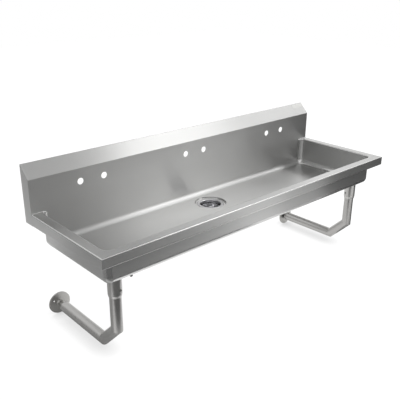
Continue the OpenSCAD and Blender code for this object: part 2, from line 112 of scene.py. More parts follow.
class SinkSizes(bpy.types.PropertyGroup):
    """Sizes of the sheet work that a user would change"""

    sheet: length("Sheet", "Thickness of the sheet", 1.6)
    bend: length("Bend", "Outer radius of a bend", 3.2)
    ledge_bend: length("Ledge bend", "Radius of the bend from the rim into the bowl", 4)
    foot_bend: length("Foot bend", "Radius of the bend at the skirt's foot", 4.6)
    lip: length("Lip", "Width of the return under the skirt", 12.7)
    bowl_depth: length("Bowl depth", "Depth of the floor's lowest edge under the rim", 127)
    floor_fall: length("Floor fall", "Fall of the floor to the back", 2)
    cove: length("Cove", "Inner radius of the bowl's corners", 24)
    seat: length("Seat", "Radius of the stamped drain seat", 66.7)
    seat_step: length("Seat step", "Depth of the stamped drain seat", 6)
    drain_hole: length("Drain hole", "Radius of the hole for the strainer", 46)
    weld: length("Weld", "Radius of a weld bead", 2)
    crease: length("Crease", "Height of the backsplash's front crease above the rim", 127)
    rise: length("Rise", "Rise of the sloped return to the wall", 50.8)
    wall_flange: length("Wall flange", "Height of the flange down the wall", 31.8)
    tap_hole: length("Tap hole", "Radius of a tap hole", 12.7)
    tap_height: length("Tap height", "Height of the tap holes above the rim", 76.2)
    tap_centres: length("Tap centres", "Distance between the two holes of a tap", 101.6)
    station_pitch: length("Station pitch", "Distance from one tap to the next", 508)


class SinkColours(bpy.types.PropertyGroup):
    """Colours of the finishes that a user would change"""

    steel: tone("Steel", "Brushed sheet", "C1C1C0")
    # Lighter than the steel: a painted highlight on the burnished bends and welds.
    bend: tone("Bend", "Burnished bends and welds", "D0D0CF")
    plate: tone("Plate", "Blank plate on the return", "CBCBC9")
    tube: tone("Tube", "Tubes of the brackets", "B4B3B1")
    socket: tone("Socket", "Sockets under the floor", "C0BFBD")
    foot: tone("Foot", "Feet on the wall", "BCBBB8")


def node(tree, kind, sockets=None, **settings):
    """Adds a shader node. A socket is given a value, or the output that it is linked to."""
    made = tree.nodes.new(kind)
    for key, value in settings.items():
        setattr(made, key, value)
    for key, value in (sockets or {}).items():
        if isinstance(value, bpy.types.NodeSocket):
            tree.links.new(value, made.inputs[key])
        else:
            made.inputs[key].default_value = value
    return made


def shader(name, **sockets):
    """A new material and its Principled shader, with the sockets that are the same all over."""
    material = bpy.data.materials.new(name)
    material.use_nodes = True
    principled = material.node_tree.nodes["Principled BSDF"]
    for key, value in sockets.items():
        principled.inputs[key.replace("_", " ")].default_value = value
    return material, material.node_tree, principled


UV_NAME = "grain"
# Length and breadth of a belt's scratch in millimetres, by the axis that it runs along. Real ones
# are about 0.2 mm apart, too fine to show, so they are drawn coarser.
SCRATCH_MM = {"X": (60, 0.8, 0.8), "Y": (0.8, 60, 0.8)}
# Breadth of a cloudy patch of hand finishing in millimetres.
CLOUD_MM = 200
# Height of a pattern's relief at full strength.
RELIEF = 0.1 * MM


def brushed_stainless(name, grain, colour):
    """Stainless sheet rubbed with a belt along one axis: soft reflections drawn out across the
    grain, faint streaks along it, and the cloudy patches of hand finishing."""
    # The tangent lies across the scratches, so that reflections are drawn out across them.
    material, tree, principled = shader(
        name,
        Base_Color=colour,
        Metallic=1.0,
        Anisotropic=0.92,
        Anisotropic_Rotation=0.25,
    )
    place = node(tree, "ShaderNodeTexCoord").outputs["Object"]
    scale = [1000 / mm for mm in SCRATCH_MM[grain]]
    streaks = node(tree, "ShaderNodeMapping", {"Vector": place, "Scale": scale}).outputs[0]
    scratch = node(
        tree, "ShaderNodeTexNoise", {"Vector": streaks, "Scale": 1.0, "Detail": 3.0}
    ).outputs["Fac"]
    cloud = node(
        tree, "ShaderNodeTexNoise", {"Vector": place, "Scale": 1000 / CLOUD_MM, "Detail": 2.0}
    ).outputs["Fac"]
    mixed = node(tree, "ShaderNodeMath", {0: scratch, 1: cloud}, operation="ADD").outputs[0]
    rough = node(
        tree,
        "ShaderNodeMapRange",
        {"Value": mixed, "From Min": 0.6, "From Max": 1.4, "To Min": 0.30, "To Max": 0.37},
    ).outputs[0]
    tree.links.new(rough, principled.inputs["Roughness"])
    bump = node(
        tree, "ShaderNodeBump", {"Height": scratch, "Strength": 0.04, "Distance": RELIEF}
    ).outputs[0]
    tree.links.new(bump, principled.inputs["Normal"])
    tangent = node(tree, "ShaderNodeTangent", direction_type="UV_MAP", uv_map=UV_NAME).outputs[0]
    tree.links.new(tangent, principled.inputs["Tangent"])
    return material


def roughen(tree, principled, grit_mm, detail, strength):
    """Gives a surface the fine grit of its making, and returns the pattern of the grit."""
    place = node(tree, "ShaderNodeTexCoord").outputs["Object"]
    grit = node(
        tree, "ShaderNodeTexNoise", {"Vector": place, "Scale": 1000 / grit_mm, "Detail": detail}
    ).outputs["Fac"]
    bump = node(
        tree, "ShaderNodeBump", {"Height": grit, "Strength": strength, "Distance": RELIEF}
    ).outputs[0]
    tree.links.new(bump, principled.inputs["Normal"])
    return grit


def even_metal(name, colour, rough, grit_mm, strength=0.15):
    """Metal with an even finish, whose shine varies a little from spot to spot with its grit."""
    material, tree, principled = shader(name, Base_Color=colour, Metallic=1.0)
    grit = roughen(tree, principled, grit_mm, 2.0, strength)
    uneven = 0.05
    spread = node(
        tree,
        "ShaderNodeMapRange",
        {"Value": grit, "To Min": rough - uneven, "To Max": rough + uneven},
    ).outputs[0]
    tree.links.new(spread, principled.inputs["Roughness"])
    return material


def moulded(name, code, rough, grit_mm, strength=0.2):
    """Rubber, plastic or fibre, with a painted shade: its colour is darkened in the hollows of its
    fine texture.
    """
    material, tree, principled = shader(name, Roughness=rough)
    grit = roughen(tree, principled, grit_mm, 3.0, strength)
    # The colour in the hollows of the grit is darkened by this factor: a painted shade.
    darker = 0.85
    colour = linear(code)
    hollow_painted_shade = opaque(darker * part for part in colour[:3])
    shade = node(
        tree, "ShaderNodeMix", {"Factor": grit, "A": hollow_painted_shade, "B": colour}, data_type="RGBA"
    )
    tree.links.new(shade.outputs["Result"], principled.inputs["Base Color"])
    return material


MATERIALS = {}


def make_materials(colours):
    """Makes every finish. Apart from the zinc's crystals, the real grit of these surfaces is under
    about 0.1 mm, too fine to show, so it is drawn as coarse as it needs to show."""
    steel, bend, plate = opaque(colours.steel), opaque(colours.bend), opaque(colours.plate)
    tube, socket, foot = opaque(colours.tube), opaque(colours.socket), opaque(colours.foot)
    # Sheet brushed along the sink: highlights stand upright and fade softly to each side.
    MATERIALS["long_grain"] = brushed_stainless("stainless_brushed_lengthwise", "X", steel)
    # Sheet brushed from front to back, on the ends: highlights are drawn out the other way.
    MATERIALS["end_grain"] = brushed_stainless("stainless_brushed_crosswise", "Y", steel)
    # Bends and welds that a disc has burnished, smoother and painted lighter than the sheet: thin
    # bright lines of painted highlight along the edges.
    MATERIALS["bend"] = even_metal("stainless_bend_burnished_painted_highlight", bend, 0.22, 1.0, 0.05)
    # Satin aluminium: paler and duller than the sheet, with hardly a highlight of its own.
    MATERIALS["plate"] = even_metal("aluminium_plate_satin", plate, 0.50, 0.6, 0.05)
    # Polished tube: wide soft highlights that run along it.
    MATERIALS["tube"] = even_metal("stainless_tube_polished", tube, 0.32, 3.0, 0.02)
    # Polished socket, a little lighter than the tube in it.
    MATERIALS["socket"] = even_metal("stainless_socket_polished", socket, 0.32, 3.0, 0.02)
    # Turned flange: an even mid grey over its whole face.
    MATERIALS["foot"] = even_metal("stainless_foot_turned", foot, 0.42, 1.5, 0.04)
    # Polished cup of the strainer: clear reflections of the bowl round it.
    MATERIALS["strainer"] = even_metal(
        "stainless_strainer_polished", linear("C8C8CA"), 0.18, 1.0, 0.05
    )
    # Bright pressed basket, the shiniest piece in the drain.
    MATERIALS["basket"] = even_metal("stainless_basket_pressed", linear("D0D0D2"), 0.16, 1.0, 0.05)
    # Blackened stud and nut: nearly black with a dull sheen.
    MATERIALS["dark_steel"] = even_metal("steel_screw_blackened", linear("505052"), 0.42, 0.5)
    # Plain set screws, darker than the polished socket round them.
    MATERIALS["screw"] = even_metal("stainless_screw_plain", linear("A0A09E"), 0.35, 0.5)
    # Dipped in zinc: bluish grey, with the soft mottling of its crystals.
    MATERIALS["zinc"] = even_metal("steel_strip_galvanised", linear("A8ACB0"), 0.45, 3.0)
    # Turned brass: warm yellow with a soft shine.
    MATERIALS["brass"] = even_metal("brass_turned", linear("C9A862"), 0.30, 0.6)
    # Chrome on brass: a mirror, barely rippled.
    MATERIALS["chrome"] = even_metal("brass_chrome_plated", linear("DADADC"), 0.08, 2.0, 0.02)
    # Moulded rubber: matt black.
    MATERIALS["rubber"] = moulded("rubber_moulded_black", "1C1C1C", 0.6, 0.5)
    # Moulded nylon: black with a slight sheen.
    MATERIALS["plastic"] = moulded("nylon_moulded_black", "202022", 0.45, 0.6)
    # Moulded polyethylene: milky white.
    MATERIALS["white_plastic"] = moulded("polyethylene_moulded_white", "E8E8E4", 0.4, 0.8)
    # Pressed paper fibre: dull brown, rough to the touch.
    MATERIALS["fibre"] = moulded("fibre_pressed_brown", "A07A50", 0.8, 0.7, 0.4)


def only(obj):
    """Selects this object alone."""
    bpy.ops.object.select_all(action="DESELECT")
    obj.select_set(True)
    bpy.context.view_layer.objects.active = obj


def leave_edit(obj):
    """Makes sure that the object is in object mode, where its mesh is up to date."""
    if obj.mode == "EDIT":
        bpy.ops.object.mode_set(mode="OBJECT")


def pick_all():
    """In edit mode, selects the whole mesh."""
    bpy.ops.mesh.select_all(action="SELECT")


def pick(obj, kind, test):
    """In edit mode, selects just the vertices, edges or faces that pass the test."""
    leave_edit(obj)
    mesh = obj.data
    bpy.context.tool_settings.mesh_select_mode = [kind == k for k in ("VERT", "EDGE", "FACE")]
    for group in (mesh.vertices, mesh.edges, mesh.polygons):
        group.foreach_set("select", [False] * len(group))
    points = [vertex.co for vertex in mesh.vertices]
    if kind == "VERT":
        chosen = [vertex for vertex in mesh.vertices if test(vertex.co)]
    elif kind == "EDGE":
        chosen = [edge for edge in mesh.edges if test(*(points[i] for i in edge.vertices))]
    else:
        chosen = [face for face in mesh.polygons if test(face.center, face.normal)]
    if not chosen:
        raise RuntimeError(f"{obj.name} has nothing of the kind {kind} where it is to be shaped")
    for element in chosen:
        element.select = True
    bpy.ops.object.mode_set(mode="EDIT")


def move(x=0, y=0, z=0):
    """In edit mode, moves what is selected."""
    bpy.ops.transform.translate(value=(x, y, z))


def fold(x=0, y=0, z=0):
    """In edit mode, extrudes the selected edges by this much."""
    bpy.ops.mesh.extrude_edges_move(TRANSFORM_OT_translate={"value": (x, y, z)})


def settled(name):
    """Applies the new primitive's place and opens it in edit mode."""
    obj = bpy.context.object
    obj.name = name
    bpy.ops.object.transform_apply(location=True, rotation=True, scale=True)
    bpy.ops.object.mode_set(mode="EDIT")
    return obj


def add_block(name, middle, size, turn=(0, 0, 0)):
    """A cube primitive of this size, placed in its mesh, in edit mode."""
    bpy.ops.object.select_all(action="DESELECT")
    bpy.ops.mesh.primitive_cube_add(size=1, location=middle, rotation=turn, scale=size)
    return settled(name)


def add_box(name, low, high):
    """A cube primitive with these corners, placed in its mesh, in edit mode."""
    middle = [(a + b) / 2 for a, b in zip(low, high)]
    return add_block(name, middle, [b - a for a, b in zip(low, high)])


def add_plane(name, middle, size, turn=(0, 0, 0)):
    """A plane primitive of this width and length, placed in its mesh, in edit mode."""
    bpy.ops.object.select_all(action="DESELECT")
    bpy.ops.mesh.primitive_plane_add(size=1, location=middle, rotation=turn)
    bpy.context.object.scale = (*size, 1)
    return settled(name)


def add_rod(name, radius, depth, middle, turn, sides):
    """A cylinder primitive, placed in its mesh, in edit mode."""
    bpy.ops.object.select_all(action="DESELECT")
    bpy.ops.mesh.primitive_cylinder_add(
        vertices=sides, radius=radius, depth=depth, location=middle, rotation=turn
    )
    return settled(name)


def tidy():
    """Merges doubles and turns every face outwards, in edit mode, and leaves edit mode."""
    pick_all()
    bpy.ops.mesh.remove_doubles(threshold=0.01 * MM)
    bpy.ops.mesh.normals_make_consistent(inside=False)
    bpy.ops.object.mode_set(mode="OBJECT")


def turned(name, profile, at):
    """A turned piece: one point is extruded along the profile of (radius, height), then spun."""
    obj = add_plane(name, at, (10 * MM, 10 * MM))
    bpy.context.tool_settings.mesh_select_mode = (True, False, False)
    pick_all()
    bpy.ops.mesh.merge(type="CENTER")
    move(x=profile[0][0], z=profile[0][1])
    for (r0, z0), (r1, z1) in zip(profile, profile[1:]):
        bpy.ops.mesh.extrude_region_move(
            TRANSFORM_OT_translate={"value": (r1 - r0, 0, z1 - z0)}
        )
    pick_all()
    bpy.ops.mesh.spin(steps=96, angle=2 * math.pi, center=at, axis=(0, 0, 1))
    tidy()
    return obj


def modify(obj, kind, **settings):
    """Adds a modifier and applies it."""
    leave_edit(obj)
    only(obj)
    made = obj.modifiers.new(kind, kind)
    for key, value in settings.items():
        setattr(made, key, value)
    bpy.ops.object.modifier_apply(modifier=made.name)


def thicken(obj, sheet, offset):
    """Gives a bare surface the sheet's thickness, outwards for an offset of 1, inwards for -1."""
    modify(obj, "SOLIDIFY", thickness=sheet, offset=offset, use_even_offset=True)


def combine(obj, tool, how):
    """Joins a solid to the piece or cuts it away, and removes the tool."""
    modify(obj, "BOOLEAN", object=tool, operation=how, solver="EXACT")
    bpy.data.objects.remove(tool)


def finish(obj, material, nodes, body=SINK_BODY):
    """Shades a piece, gives it its grain and material, and puts it in place of its CAD nodes."""
    smooth_under = math.radians(30)
    leave_edit(obj)
    only(obj)
    bpy.ops.object.shade_smooth_by_angle(angle=smooth_under)
    modify(obj, "WEIGHTED_NORMAL", keep_sharp=True, weight=80)
    bpy.ops.object.mode_set(mode="EDIT")
    pick_all()
    bpy.ops.uv.cube_project(cube_size=1.0, scale_to_bounds=False)
    bpy.ops.object.mode_set(mode="OBJECT")
    obj.data.uv_layers[0].name = UV_NAME
    obj.data.materials.clear()
    obj.data.materials.append(MATERIALS[material])
    if nodes:
        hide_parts(*nodes)
    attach(obj, body)


def burnish_with_painted_highlight(obj, test):
    """Gives the chosen faces the smoother shine of a burnished bend, and its lighter colour, a
    painted highlight.
    """
    obj.data.materials.append(MATERIALS["bend"])
    pick(obj, "FACE", test)
    obj.active_material_index = 1
    bpy.ops.object.material_slot_assign()
    bpy.ops.object.mode_set(mode="OBJECT")


# From this part of its normal on, a face counts as square to an axis, or as level.
SQUARE = 0.99
LEVEL = 0.9


def bent(centre, normal):
    """Says that a face leans between the square sides of a piece, as those of a bend do."""
    return max(abs(part) for part in normal) < SQUARE


def near(a, b):
    """Says that two places are the same, apart from rounding."""
    return abs(a - b) < 0.01 * MM


def arc(centre, r, start, end, steps):
    """Points on an arc in a profile, from one angle in degrees to another."""
    turns = [math.radians(start + (end - start) * i / steps) for i in range(steps + 1)]
    return [(centre[0] + r * math.cos(t), centre[1] + r * math.sin(t)) for t in turns]


def round_edges(radius, corner, steps):
    """Rounds the selected edges to an arc of this radius, where the faces meet at this angle."""
    half = math.radians(corner) / 2
    # This profile makes the bevel's curve a part of a circle.
    profile = ((1 + 2 * math.sin(half)) / (2 * (1 + math.sin(half)))) ** 2
    bpy.ops.mesh.bevel(
        offset=radius / math.tan(half), segments=steps, profile=profile, affect="EDGES"
    )


class SINK_OT_bowl(bpy.types.Operator):
    """The coved trough with its stamped drain seat"""

    bl_idname = "sink.bowl"
    bl_label = "Bowl"

    def execute(self, context):
        sizes = context.scene.sink_sizes
        floor = RIM_TOP - sizes.bowl_depth
        obj = self.trough(sizes, floor)
        self.stamp_seat(obj, sizes, floor)
        finish(obj, "long_grain", ["bowl"])
        burnish_with_painted_highlight(obj, lambda face, normal: bent(face, normal) and self.shiny(face, normal))
        return {"FINISHED"}

    @staticmethod
    def trough(sizes, floor):
        """A box without its top, whose floor falls to the back, with coves and a wall."""
        wall_x = BOWL_HIGH.x - sizes.sheet
        wall_y = BOWL_LOW.y + sizes.sheet
        top = BOWL_HIGH.z
        obj = add_box("bowl_shell", (-wall_x, wall_y, floor), (wall_x, SPLASH_Y, top))
        pick(obj, "FACE", lambda face, normal: normal.z > LEVEL)
        bpy.ops.mesh.delete(type="FACE")
        pick(obj, "VERT", lambda point: near(point.y, wall_y) and near(point.z, floor))
        move(z=sizes.floor_fall)
        pick(obj, "EDGE", lambda a, b: not (near(a.z, top) and near(b.z, top)))
        bpy.ops.mesh.bevel(offset=sizes.cove, segments=10, affect="EDGES")
        thicken(obj, sizes.sheet, 1)
        return obj

    @staticmethod
    def stamp_seat(obj, sizes, floor):
        """Sinks the seat into the floor, rounded at its edge and its root, and cuts its hole."""
        sheet, wall, step = sizes.sheet, sizes.seat, sizes.seat_step
        at = (0, DRAIN_Y, floor - step)
        edge_bend, root_bend = 2 * MM, 2.5 * MM
        # The floor is up to about this much higher round the seat than at its lowest edge.
        above = 0.8 * MM
        # The tools reach this far past what they cut, and the wall below flares out by the last.
        clear, through, over, flare = 0.4 * MM, 3 * MM, 1 * MM, 1 * MM
        top = step + above
        root_at = (wall - root_bend, root_bend)
        cavity = [
            (0, 0),
            *arc(root_at, root_bend, 270, 360, 5),
            *arc((wall + edge_bend, top - edge_bend), edge_bend, 180, 90, 6),
            (wall + 3 * edge_bend, top + clear),
            (0, top + clear),
        ]
        under_top = step - sheet / 2
        under = [
            (0, -sheet),
            *arc(root_at, root_bend + sheet, 270, 360, 5),
            (wall + sheet + flare, under_top),
            (0, under_top),
        ]
        hole = [
            (0, -through),
            (sizes.drain_hole, -through),
            (sizes.drain_hole, over),
            (0, over),
        ]
        combine(obj, turned("seat_under", under, at), "UNION")
        combine(obj, turned("seat_cavity", cavity, at), "DIFFERENCE")
        combine(obj, turned("seat_hole", hole, at), "DIFFERENCE")

    @staticmethod
    def shiny(face, normal):
        """Says which bends get the polish and the painted highlight: the inner corners, and those
        that show under the front.
        """
        lean, square = 0.1, 0.05
        inner_corner = face.x * normal.x < -lean * abs(face.x)
        front_corner = normal.y < -lean and abs(normal.z) < square
        front_foot = normal.y < -lean and normal.z < -lean and abs(normal.x) < square
        return inner_corner or front_corner or front_foot


class SINK_OT_rims(bpy.types.Operator):
    """The front and end rims, mitred from one bent frame, and their welds to the backsplash"""

    bl_idname = "sink.rims"
    bl_label = "Rims"

    def execute(self, context):
        sizes = context.scene.sink_sizes
        obj = self.ledge(sizes)
        self.inner_bend(obj, sizes)
        self.skirts(obj, sizes)
        self.end_at_backsplash(obj)
        thicken(obj, sizes.sheet, -1)
        for side, name in SIDES:
            only(obj)
            bpy.ops.object.duplicate()
            end = bpy.context.object
            end.name = f"rim_{name}"
            self.mitre(end, side, keep_end=True)
            finish(end, "end_grain", [f"side_rim_{name}"])
            burnish_with_painted_highlight(end, lambda face, normal: bent(face, normal) and normal.z > 0)
            self.mitre(obj, side, keep_end=False)
        obj.name = "rim_front"
        finish(obj, "long_grain", ["front_rim"])
        burnish_with_painted_highlight(obj, bent)
        self.weld_beads(sizes)
        return {"FINISHED"}

    @staticmethod
    def ledge(sizes):
        """The flat frame of the rim, closed behind the backsplash for now, and its opening."""
        open_x = BOWL_HIGH.x - sizes.sheet + sizes.ledge_bend
        open_y = BOWL_LOW.y + sizes.sheet - sizes.ledge_bend
        back = SPLASH_Y + sizes.ledge_bend
        inner = add_plane(
            "opening", (0, (open_y + back) / 2, RIM_TOP), (2 * open_x, back - open_y)
        )
        pick_all()
        bpy.ops.mesh.bevel(offset=sizes.cove + sizes.ledge_bend, segments=12, affect="VERTICES")
        bpy.ops.mesh.delete(type="ONLY_FACE")
        bpy.ops.object.mode_set(mode="OBJECT")
        obj = add_plane("rim_frame", (0, FRONT_Y / 2, RIM_TOP), (2 * END_X, -FRONT_Y))
        pick_all()
        bpy.ops.mesh.delete(type="ONLY_FACE")
        bpy.ops.object.mode_set(mode="OBJECT")
        inner.select_set(True)
        bpy.ops.object.join()
        bpy.ops.object.mode_set(mode="EDIT")
        pick_all()
        bpy.ops.mesh.fill(use_beauty=True)
        pick_all()
        bpy.ops.mesh.dissolve_limited(angle_limit=math.radians(1))
        return obj

    @staticmethod
    def inner_bend(obj, sizes):
        """Carries the opening's edge down into the bowl in steps round the bend."""
        bend, past = sizes.ledge_bend, 5 * MM
        limit_x = BOWL_HIGH.x + past
        low_y, high_y = BOWL_LOW.y - past, SPLASH_Y + past

        def in_opening(point):
            return abs(point.x) < limit_x and low_y < point.y < high_y

        pick(obj, "EDGE", lambda a, b: in_opening(a) and in_opening(b))
        bpy.ops.mesh.edge_face_add()
        steps, tuck = 5, 2 * MM
        for i in range(steps):
            start, end = (math.pi / 2 * (i + k) / steps for k in (0, 1))
            bpy.ops.mesh.inset(
                thickness=bend * (math.sin(end) - math.sin(start)),
                depth=-bend * (math.cos(start) - math.cos(end)),
            )
        bpy.ops.mesh.extrude_region_move(TRANSFORM_OT_translate={"value": (0, 0, -tuck)})
        bpy.ops.mesh.delete(type="ONLY_FACE")

    @staticmethod
    def skirts(obj, sizes):
        """Turns the front and the ends down, returns their lower edges and rounds the bends."""
        low = RIM_LOW.z

        def outside(point):
            return near(abs(point.x), END_X) or near(point.y, FRONT_Y)

        def outer_edge(a, b):
            level = near(a.z, RIM_TOP) and near(b.z, RIM_TOP)
            side = near(abs(a.x), END_X) and near(a.x, b.x)
            front = near(a.y, FRONT_Y) and near(b.y, FRONT_Y)
            return level and (side or front)

        def foot(a, b):
            return all(outside(point) and point.z < low + 1 * MM for point in (a, b))

        pick(obj, "EDGE", outer_edge)
        fold(z=low - RIM_TOP)
        # The next fold takes up no height, and is drawn in to the width of the return.
        fold()
        bpy.ops.transform.resize(
            value=(1 - sizes.lip / END_X, 1 + sizes.lip / FRONT_Y, 1), center_override=(0, 0, low)
        )
        # The skirts of the ends deepen towards the wall, where the frame is cut off later.
        side_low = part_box("side_rim_left")[0].z
        deeper = (low - side_low) * FRONT_Y / (FRONT_Y - SPLASH_Y)
        pick(obj, "VERT", lambda point: near(point.y, 0) and near(point.z, low))
        move(z=-deeper)
        pick(obj, "EDGE", outer_edge)
        round_edges(sizes.bend, corner=90, steps=4)
        pick(obj, "EDGE", foot)
        round_edges(sizes.foot_bend, corner=90, steps=5)

    @staticmethod
    def end_at_backsplash(obj):
        """Cuts the frame off just before the backsplash, so that no sliver lies in its face."""
        bpy.ops.object.mode_set(mode="EDIT")
        pick_all()
        bpy.ops.mesh.bisect(
            plane_co=(0, SPLASH_Y - 0.01 * MM, 0),
            plane_no=(0, 1, 0),
            clear_outer=True,
            threshold=0.001 * MM,
        )
        tidy()

    @staticmethod
    def mitre(obj, side, keep_end):
        """Cuts the frame on the line from its outer corner, and keeps one side of the cut."""
        only(obj)
        bpy.ops.object.mode_set(mode="EDIT")
        pick_all()
        bpy.ops.mesh.bisect(
            plane_co=(side * END_X, FRONT_Y, 0),
            plane_no=(side, 1, 0),
            clear_inner=keep_end,
            clear_outer=not keep_end,
            use_fill=True,
        )
        tidy()

    @staticmethod
    def weld_beads(sizes):
        """The polished beads that join the end rims to the backsplash, rounded at the bowl."""
        # Each starts halfway across the bowl's rounded corner.
        inner = BOWL_HIGH.x - sizes.sheet - sizes.cove / 2
        outer = END_X - sizes.sheet
        for side, name in SIDES:
            obj = add_rod(
                f"weld_bead_{name}",
                sizes.weld,
                outer - inner,
                (side * (outer + inner) / 2, SPLASH_Y, RIM_TOP),
                turn=(0, math.pi / 2, 0),
                sides=24,
            )
            pick(obj, "EDGE", lambda a, b: near(abs(a.x), inner) and near(abs(b.x), inner))
            bpy.ops.mesh.bevel(offset=0.8 * sizes.weld, segments=4, affect="EDGES")
            tidy()
            finish(obj, "bend", [])


class SINK_OT_backsplash(bpy.types.Operator):
    """The bent backsplash with its tap holes, its end plates and a blank plate on its return"""

    bl_idname = "sink.backsplash"
    bl_label = "Backsplash"

    def execute(self, context):
        sizes = context.scene.sink_sizes
        self.crease = RIM_TOP + sizes.crease
        self.ridge = self.crease + sizes.rise
        self.slope = math.atan2(sizes.rise, -SPLASH_Y)
        self.bent_sheet(sizes)
        for _, name in SIDES:
            self.end_plate(sizes, name)
        self.blank_plate()
        return {"FINISHED"}

    def bent_sheet(self, sizes):
        """The front, the return that slopes to the wall, and the flange down it, in one sheet."""
        wide, low = SPLASH_HIGH.x, SPLASH_LOW.z
        obj = add_plane(
            "splash_sheet",
            (0, SPLASH_Y, (low + self.crease) / 2),
            (2 * wide, self.crease - low),
            turn=(math.pi / 2, 0, 0),
        )
        pick(obj, "EDGE", lambda a, b: near(a.z, self.crease) and near(b.z, self.crease))
        fold(y=-SPLASH_Y, z=sizes.rise)
        fold(z=-sizes.wall_flange)
        self.round_creases(obj, sizes.bend)
        tidy()
        front = max(obj.data.polygons, key=lambda face: face.area)
        if front.normal.y > 0:
            bpy.ops.object.mode_set(mode="EDIT")
            pick_all()
            bpy.ops.mesh.flip_normals()
        thicken(obj, sizes.sheet, -1)
        through = 10 * MM
        for station in (-1, 0, 1):
            for side, _ in SIDES:
                x = station * sizes.station_pitch + side * sizes.tap_centres / 2
                drill = add_rod(
                    "tap_hole",
                    sizes.tap_hole,
                    through,
                    (x, SPLASH_Y, RIM_TOP + sizes.tap_height),
                    turn=(math.pi / 2, 0, 0),
                    sides=64,
                )
                leave_edit(drill)
                combine(obj, drill, "DIFFERENCE")
        finish(obj, "long_grain", ["backsplash"])

    def round_creases(self, obj, radius):
        """Rounds the front crease and the ridge at the wall, as the sheet is bent."""
        slope = math.degrees(self.slope)
        pick(obj, "EDGE", lambda a, b: near(a.z, self.crease) and near(b.z, self.crease))
        round_edges(radius, corner=90 + slope, steps=4)
        pick(obj, "EDGE", lambda a, b: near(a.z, self.ridge) and near(b.z, self.ridge))
        round_edges(radius, corner=90 - slope, steps=9)

    def end_plate(self, sizes, name):
        """The plate that closes an end of the backsplash: its profile, with softened edges."""
        low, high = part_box(f"splash_end_{name}")
        skirt_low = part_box(f"side_rim_{name}")[0].z
        obj = add_box(f"splash_plate_{name}", low, (high.x, high.y, self.ridge))
        pick(obj, "VERT", lambda point: near(point.y, SPLASH_Y) and point.z > self.crease)
        move(z=-sizes.rise)
        pick(obj, "VERT", lambda point: near(point.y, SPLASH_Y) and near(point.z, low.z))
        move(z=skirt_low - low.z)
        # The lower edge is lifted a little to meet the rim's skirt within its rounded foot.
        pick(obj, "FACE", lambda face, normal: normal.z < -LEVEL)
        move(z=sizes.foot_bend / 4)
        self.round_creases(obj, sizes.bend)
        pick(obj, "EDGE", lambda a, b: near(abs(a.x), END_X) and near(abs(b.x), END_X))
        bpy.ops.mesh.bevel(offset=1 * MM, segments=3, affect="EDGES")
        tidy()
        finish(obj, "end_grain", [f"splash_end_{name}"])

    def blank_plate(self):
        """A small blank plate at the right end of the sloped return, half sunk into its face."""
        long, wide, thick = 74 * MM, 23 * MM, 0.6 * MM
        inset, corner = 3 * MM, 2 * MM
        middle_y = -15 * MM
        middle = (
            END_X - inset - long / 2,
            middle_y,
            self.ridge + middle_y * math.tan(self.slope),
        )
        obj = add_block("blank_plate", middle, (long, wide, thick), turn=(self.slope, 0, 0))
        pick(obj, "EDGE", lambda a, b: near(a.x, b.x) and (a - b).length < 2 * thick)
        bpy.ops.mesh.bevel(offset=corner, segments=4, affect="EDGES")
        tidy()
        finish(obj, "plate", [])


def dress(cad, name, material, body=SINK_BODY):
    """A smooth piece of the same shape as a small CAD node: a copy of it, merged and shaded."""
    only(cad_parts[cad])
    bpy.ops.object.duplicate()
    obj = bpy.context.object
    obj.parent = None
    obj.name = name
    bpy.ops.object.mode_set(mode="EDIT")
    pick_all()
    bpy.ops.mesh.remove_doubles(threshold=0.002 * MM)
    finish(obj, material, [cad], body)


class SINK_OT_brackets(bpy.types.Operator):
    """The sockets under the floor and the mitred tubes"""

    bl_idname = "sink.brackets"
    bl_label = "Wall brackets"

    def execute(self, context):
        for _, name in SIDES:
            dress(f"socket_plate_{name}", f"plate_{name}", "tube")
            dress(f"socket_{name}", f"leg_socket_{name}", "socket")
            dress(f"set_screw_{name}", f"socket_screw_{name}", "screw")
            dress(f"upright_{name}", f"tube_upright_{name}", "tube")
            dress(f"knee_{name}", f"tube_knee_{name}", "tube")
            dress(f"wall_run_{name}", f"tube_run_{name}", "tube")
            dress(f"tube_plug_{name}", f"plug_{name}", "plastic")
        return {"FINISHED"}


class SINK_OT_feet(bpy.types.Operator):
    """The feet that screw out of the tubes to the wall"""

    bl_idname = "sink.feet"
    bl_label = "Wall feet"

    def execute(self, context):
        for _, name in SIDES:
            dress(f"wall_foot_{name}", f"foot_flange_{name}", "foot", f"foot_{name}")
        return {"FINISHED"}


class SINK_OT_drain(bpy.types.Operator):
    """The basket strainer, its basket and the outlet below"""

    bl_idname = "sink.drain"
    bl_label = "Drain"

    def execute(self, context):
        dress("strainer_body", "strainer_cup", "strainer")
        dress("strainer_gasket", "gasket", "rubber")
        dress("friction_ring", "slip_ring", "fibre")
        dress("locknut", "lock_nut", "brass")
        dress("tail_washer", "outlet_washer", "white_plastic")
        dress("coupling_nut", "outlet_nut", "chrome")
        dress("tailpiece", "outlet_tube", "chrome")
        dress("strainer_basket", "basket_cup", "basket", "basket")
        dress("basket_post", "basket_knob", "basket", "basket")
        dress("stopper", "basket_stopper", "rubber", "basket")
        return {"FINISHED"}


class SINK_OT_fixings(bpy.types.Operator):
    """The hanger on the wall and the bonding stud"""

    bl_idname = "sink.fixings"
    bl_label = "Fixings"

    def execute(self, context):
        dress("wall_hanger", "hanger_strip", "zinc")
        dress("bonding_stud", "earth_stud", "dark_steel")
        dress("bonding_nut", "earth_nut", "dark_steel")
        return {"FINISHED"}


# The camera that was fitted to the photograph, in metres, degrees and millimetres of lens.
CAMERA_AT = (-1.5462, -1.7907, 0.6619)
CAMERA_TURN = (68.1064, -0.2748, -42.0843)
CAMERA_LENS = 51.111

# Lamps and cards stand round this point, and cover angles from it: azimuths go from +Y towards +X.
STUDIO_MIDDLE = (0, -0.25, -0.3)
LAMP_AWAY = 4.5
CARD_AWAY = 5.5

